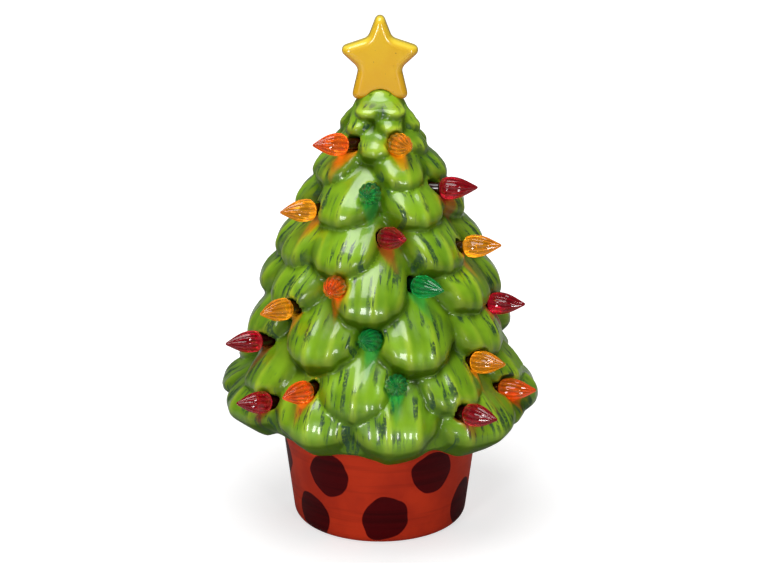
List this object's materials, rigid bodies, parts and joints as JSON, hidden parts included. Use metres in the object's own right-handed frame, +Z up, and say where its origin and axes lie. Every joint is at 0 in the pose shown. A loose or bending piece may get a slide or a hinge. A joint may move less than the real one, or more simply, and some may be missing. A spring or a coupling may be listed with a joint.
{
  "type": "ceramic christmas tree",
  "caption": "Hollow glazed ceramic tree with overlapping boughs, star and push-in flame bulbs, on a dotted flowerpot foot with a lamp inside.",
  "frame": {"origin": "middle of the pot's foot, on the surface it stands on", "axes": "+Z up along the tree's axis, -Y towards the front that the picture shows, +X to its right"},
  "size_m": [0.1388, 0.142, 0.2271],
  "materials": {
    "green_glaze": "glossy glaze, darker in the creases",
    "yellow_glaze": "glossy glaze",
    "red_glaze": "satin glaze with dark red dots",
    "red_bulb": "translucent moulded",
    "orange_bulb": "translucent moulded",
    "amber_bulb": "translucent moulded",
    "green_bulb": "translucent moulded",
    "gasket_rubber": "matte",
    "lamp_plastic": "fine moulded grain",
    "switch_plastic": "moulded",
    "diffuser_plastic": "frosted",
    "led_epoxy": "clear cast",
    "board_laminate": "solder mask",
    "cell_steel": "brushed",
    "contact_metal": "bright",
    "screw_steel": "zinc plated"
  },
  "bodies": {
    "pot_base": {"pot": "red_glaze", "lamp_gasket": "gasket_rubber", "lamp_housing": "lamp_plastic", "lamp_plate": "lamp_plastic", "diffuser": "diffuser_plastic", "led": "led_epoxy", "circuit_board": "board_laminate", "contact_negative": "contact_metal", "contact_positive": "contact_metal", "switch_body": "switch_plastic", "case_screws": "screw_steel", "board_screws": "screw_steel"},
    "tree_top": {"tree": "green_glaze", "star": "yellow_glaze"},
    "switch": {"switch_knob": "switch_plastic"},
    "door": {"battery_door": "lamp_plastic", "coin_cell": "cell_steel"},
    "bulb_front_01": {"bulb_front_01_orange": "orange_bulb"},
    "bulb_front_02": {"bulb_front_02_amber": "amber_bulb"},
    "bulb_front_03": {"bulb_front_03_green": "green_bulb"},
    "bulb_front_04": {"bulb_front_04_red": "red_bulb"},
    "bulb_front_05": {"bulb_front_05_amber": "amber_bulb"},
    "bulb_front_06": {"bulb_front_06_red": "red_bulb"},
    "bulb_front_07": {"bulb_front_07_amber": "amber_bulb"},
    "bulb_front_08": {"bulb_front_08_orange": "orange_bulb"},
    "bulb_front_09": {"bulb_front_09_green": "green_bulb"},
    "bulb_front_10": {"bulb_front_10_amber": "amber_bulb"},
    "bulb_front_11": {"bulb_front_11_red": "red_bulb"},
    "bulb_front_12": {"bulb_front_12_red": "red_bulb"},
    "bulb_front_13": {"bulb_front_13_green": "green_bulb"},
    "bulb_front_14": {"bulb_front_14_amber": "amber_bulb"},
    "bulb_front_15": {"bulb_front_15_green": "green_bulb"},
    "bulb_front_16": {"bulb_front_16_orange": "orange_bulb"},
    "bulb_front_17": {"bulb_front_17_red": "red_bulb"},
    "bulb_front_18": {"bulb_front_18_red": "red_bulb"},
    "bulb_front_19": {"bulb_front_19_orange": "orange_bulb"},
    "bulb_back_01": {"bulb_back_01_orange": "orange_bulb"},
    "bulb_back_02": {"bulb_back_02_amber": "amber_bulb"},
    "bulb_back_03": {"bulb_back_03_green": "green_bulb"},
    "bulb_back_04": {"bulb_back_04_red": "red_bulb"},
    "bulb_back_05": {"bulb_back_05_amber": "amber_bulb"},
    "bulb_back_06": {"bulb_back_06_red": "red_bulb"},
    "bulb_back_07": {"bulb_back_07_amber": "amber_bulb"},
    "bulb_back_08": {"bulb_back_08_orange": "orange_bulb"},
    "bulb_back_09": {"bulb_back_09_green": "green_bulb"},
    "bulb_back_10": {"bulb_back_10_amber": "amber_bulb"},
    "bulb_back_11": {"bulb_back_11_red": "red_bulb"},
    "bulb_back_12": {"bulb_back_12_red": "red_bulb"},
    "bulb_back_13": {"bulb_back_13_green": "green_bulb"},
    "bulb_back_14": {"bulb_back_14_amber": "amber_bulb"},
    "bulb_back_15": {"bulb_back_15_green": "green_bulb"},
    "bulb_back_16": {"bulb_back_16_orange": "orange_bulb"},
    "bulb_back_17": {"bulb_back_17_red": "red_bulb"},
    "bulb_back_18": {"bulb_back_18_red": "red_bulb"},
    "bulb_back_19": {"bulb_back_19_orange": "orange_bulb"}
  },
  "joints": [
    {"name": "lift_tree", "type": "slide", "parent": "pot_base", "child": "tree_top", "axis": [0, 0, 1], "range_m": [0, 0.06]},
    {"name": "lamp_switch", "type": "slide", "parent": "pot_base", "child": "switch", "axis": [0, 1, 0], "range_m": [0, 0.003]},
    {"name": "lamp_door_turn", "type": "hinge", "parent": "pot_base", "child": "door", "pos_m": [0, 0, 0], "axis": [0, 0, 1], "range_deg": [0, 50]},
    {"name": "pull_bulb_front_01", "type": "slide", "parent": "tree_top", "child": "bulb_front_01", "axis": [-0.8539, -0.5131, 0.0872], "range_m": [0, 0.014]},
    {"name": "pull_bulb_front_02", "type": "slide", "parent": "tree_top", "child": "bulb_front_02", "axis": [0.4216, -0.9041, 0.0698], "range_m": [0, 0.014]},
    {"name": "pull_bulb_front_03", "type": "slide", "parent": "tree_top", "child": "bulb_front_03", "axis": [-0.1207, -0.9829, 0.1392], "range_m": [0, 0.014]},
    {"name": "pull_bulb_front_04", "type": "slide", "parent": "tree_top", "child": "bulb_front_04", "axis": [0.9889, -0.139, 0.0523], "range_m": [0, 0.014]},
    {"name": "pull_bulb_front_05", "type": "slide", "parent": "tree_top", "child": "bulb_front_05", "axis": [-0.8648, -0.4993, 0.0523], "range_m": [0, 0.014]},
    {"name": "pull_bulb_front_06", "type": "slide", "parent": "tree_top", "child": "bulb_front_06", "axis": [0.5927, -0.7865, 0.1736], "range_m": [0, 0.014]},
    {"name": "pull_bulb_front_07", "type": "slide", "parent": "tree_top", "child": "bulb_front_07", "axis": [0.9606, -0.2574, 0.1045], "range_m": [0, 0.014]},
    {"name": "pull_bulb_front_08", "type": "slide", "parent": "tree_top", "child": "bulb_front_08", "axis": [-0.1734, -0.9835, 0.0523], "range_m": [0, 0.014]},
    {"name": "pull_bulb_front_09", "type": "slide", "parent": "tree_top", "child": "bulb_front_09", "axis": [0.7304, -0.6811, 0.0523], "range_m": [0, 0.014]},
    {"name": "pull_bulb_front_10", "type": "slide", "parent": "tree_top", "child": "bulb_front_10", "axis": [-0.7061, -0.7061, 0.0523], "range_m": [0, 0.014]},
    {"name": "pull_bulb_front_11", "type": "slide", "parent": "tree_top", "child": "bulb_front_11", "axis": [0.955, -0.292, 0.0523], "range_m": [0, 0.014]},
    {"name": "pull_bulb_front_12", "type": "slide", "parent": "tree_top", "child": "bulb_front_12", "axis": [-0.8976, -0.4378, 0.0523], "range_m": [0, 0.014]},
    {"name": "pull_bulb_front_13", "type": "slide", "parent": "tree_top", "child": "bulb_front_13", "axis": [-0.3113, -0.9042, 0.2924], "range_m": [0, 0.014]},
    {"name": "pull_bulb_front_14", "type": "slide", "parent": "tree_top", "child": "bulb_front_14", "axis": [0.8147, -0.5704, 0.1045], "range_m": [0, 0.014]},
    {"name": "pull_bulb_front_15", "type": "slide", "parent": "tree_top", "child": "bulb_front_15", "axis": [-0.0167, -0.9562, 0.2924], "range_m": [0, 0.014]},
    {"name": "pull_bulb_front_16", "type": "slide", "parent": "tree_top", "child": "bulb_front_16", "axis": [-0.6419, -0.765, 0.0523], "range_m": [0, 0.014]},
    {"name": "pull_bulb_front_17", "type": "slide", "parent": "tree_top", "child": "bulb_front_17", "axis": [-0.8283, -0.5379, 0.1564], "range_m": [0, 0.014]},
    {"name": "pull_bulb_front_18", "type": "slide", "parent": "tree_top", "child": "bulb_front_18", "axis": [0.7761, -0.6285, 0.0523], "range_m": [0, 0.014]},
    {"name": "pull_bulb_front_19", "type": "slide", "parent": "tree_top", "child": "bulb_front_19", "axis": [0.969, -0.2416, 0.0523], "range_m": [0, 0.014]},
    {"name": "pull_bulb_back_01", "type": "slide", "parent": "tree_top", "child": "bulb_back_01", "axis": [0.408, 0.9088, 0.0872], "range_m": [0, 0.014]},
    {"name": "pull_bulb_back_02", "type": "slide", "parent": "tree_top", "child": "bulb_back_02", "axis": [-0.2457, 0.9668, 0.0698], "range_m": [0, 0.014]},
    {"name": "pull_bulb_back_03", "type": "slide", "parent": "tree_top", "child": "bulb_back_03", "axis": [0.0856, 0.9866, 0.1392], "range_m": [0, 0.014]},
    {"name": "pull_bulb_back_04", "type": "slide", "parent": "tree_top", "child": "bulb_back_04", "axis": [-0.5509, 0.8329, 0.0523], "range_m": [0, 0.014]},
    {"name": "pull_bulb_back_05", "type": "slide", "parent": "tree_top", "child": "bulb_back_05", "axis": [0.5327, 0.8447, 0.0523], "range_m": [0, 0.014]},
    {"name": "pull_bulb_back_06", "type": "slide", "parent": "tree_top", "child": "bulb_back_06", "axis": [-0.0107, 0.9848, 0.1736], "range_m": [0, 0.014]},
    {"name": "pull_bulb_back_07", "type": "slide", "parent": "tree_top", "child": "bulb_back_07", "axis": [-0.5305, 0.8412, 0.1045], "range_m": [0, 0.014]},
    {"name": "pull_bulb_back_08", "type": "slide", "parent": "tree_top", "child": "bulb_back_08", "axis": [0.2773, 0.9594, 0.0523], "range_m": [0, 0.014]},
    {"name": "pull_bulb_back_09", "type": "slide", "parent": "tree_top", "child": "bulb_back_09", "axis": [-0.225, 0.973, 0.0523], "range_m": [0, 0.014]},
    {"name": "pull_bulb_back_10", "type": "slide", "parent": "tree_top", "child": "bulb_back_10", "axis": [0.4863, 0.8722, 0.0523], "range_m": [0, 0.014]},
    {"name": "pull_bulb_back_11", "type": "slide", "parent": "tree_top", "child": "bulb_back_11", "axis": [-0.694, 0.7181, 0.0523], "range_m": [0, 0.014]},
    {"name": "pull_bulb_back_12", "type": "slide", "parent": "tree_top", "child": "bulb_back_12", "axis": [0.6541, 0.7546, 0.0523], "range_m": [0, 0.014]},
    {"name": "pull_bulb_back_13", "type": "slide", "parent": "tree_top", "child": "bulb_back_13", "axis": [0.031, 0.9558, 0.2924], "range_m": [0, 0.014]},
    {"name": "pull_bulb_back_14", "type": "slide", "parent": "tree_top", "child": "bulb_back_14", "axis": [-0.4843, 0.8686, 0.1045], "range_m": [0, 0.014]},
    {"name": "pull_bulb_back_15", "type": "slide", "parent": "tree_top", "child": "bulb_back_15", "axis": [-0.0827, 0.9527, 0.2924], "range_m": [0, 0.014]},
    {"name": "pull_bulb_back_16", "type": "slide", "parent": "tree_top", "child": "bulb_back_16", "axis": [0.3185, 0.9465, 0.0523], "range_m": [0, 0.014]},
    {"name": "pull_bulb_back_17", "type": "slide", "parent": "tree_top", "child": "bulb_back_17", "axis": [0.4995, 0.8521, 0.1564], "range_m": [0, 0.014]},
    {"name": "pull_bulb_back_18", "type": "slide", "parent": "tree_top", "child": "bulb_back_18", "axis": [-0.3185, 0.9465, 0.0523], "range_m": [0, 0.014]},
    {"name": "pull_bulb_back_19", "type": "slide", "parent": "tree_top", "child": "bulb_back_19", "axis": [-0.6208, 0.7822, 0.0523], "range_m": [0, 0.014]}
  ]
}
